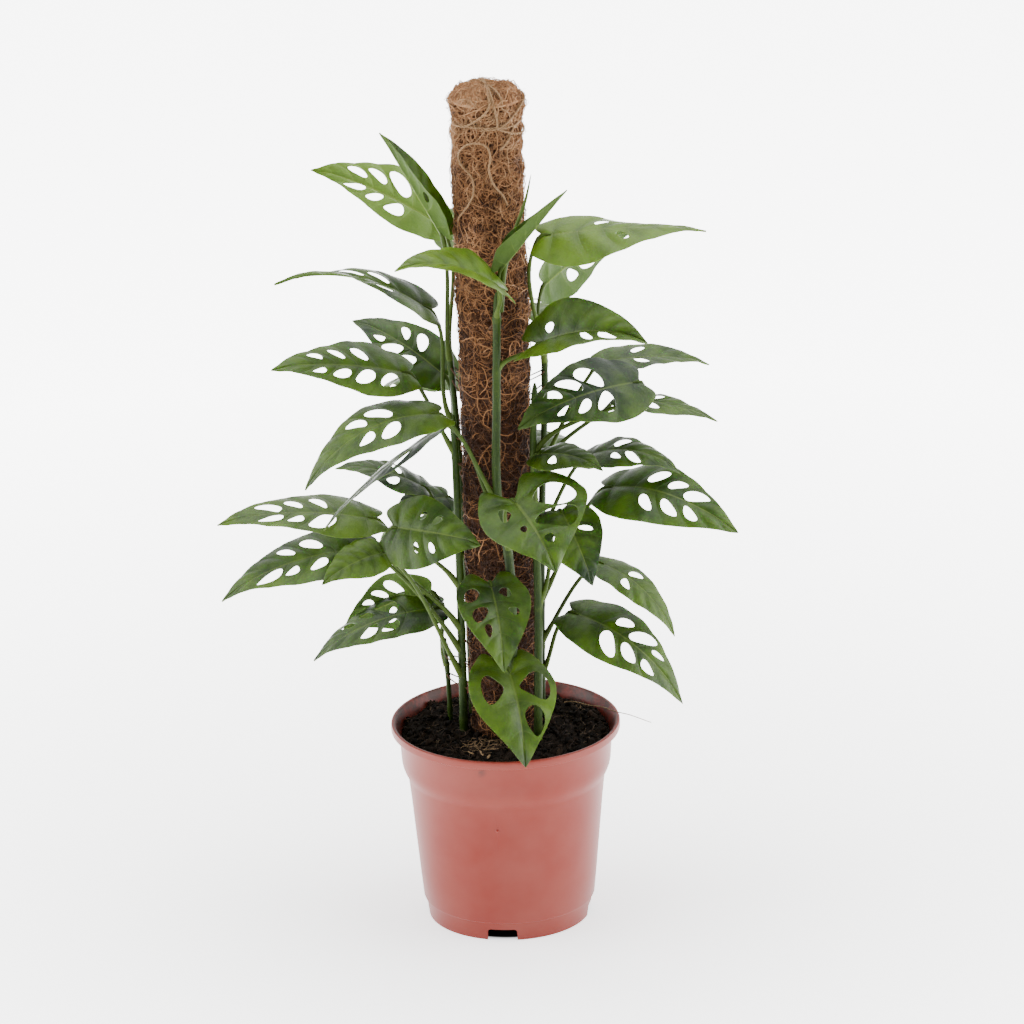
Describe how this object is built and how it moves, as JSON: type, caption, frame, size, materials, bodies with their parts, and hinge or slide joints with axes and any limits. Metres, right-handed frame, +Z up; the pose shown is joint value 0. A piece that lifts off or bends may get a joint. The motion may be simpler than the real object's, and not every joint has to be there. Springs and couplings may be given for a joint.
{
  "type": "potted swiss cheese vine",
  "caption": "Swiss cheese vine with pierced leaves on a twine-tied coir pole, potted in soil in a terracotta-coloured plastic nursery pot.",
  "frame": {"origin": "middle of the pot's underside, on the plane the pot stands on", "axes": "+Z up along the pot's axis, -Y towards the front the picture shows, +X to the right as seen from the front"},
  "size_m": [0.3803, 0.2735, 0.6478],
  "materials": {
    "pot_plastic": "satin",
    "potting_soil": "matte",
    "stake_wood": "matte",
    "coir": "matte",
    "jute_twine": "matte",
    "vine_green": "satin"
  },
  "bodies": {
    "root": {"pot": "pot_plastic", "soil": "potting_soil", "pole_stake": "stake_wood", "coir_sleeve": "coir", "twine": "jute_twine", "vine_front": "vine_green", "vine_left": "vine_green", "vine_left_back": "vine_green", "vine_right": "vine_green", "vine_right_back": "vine_green", "vine_low_left": "vine_green", "vine_back": "vine_green"}
  },
  "joints": []
}
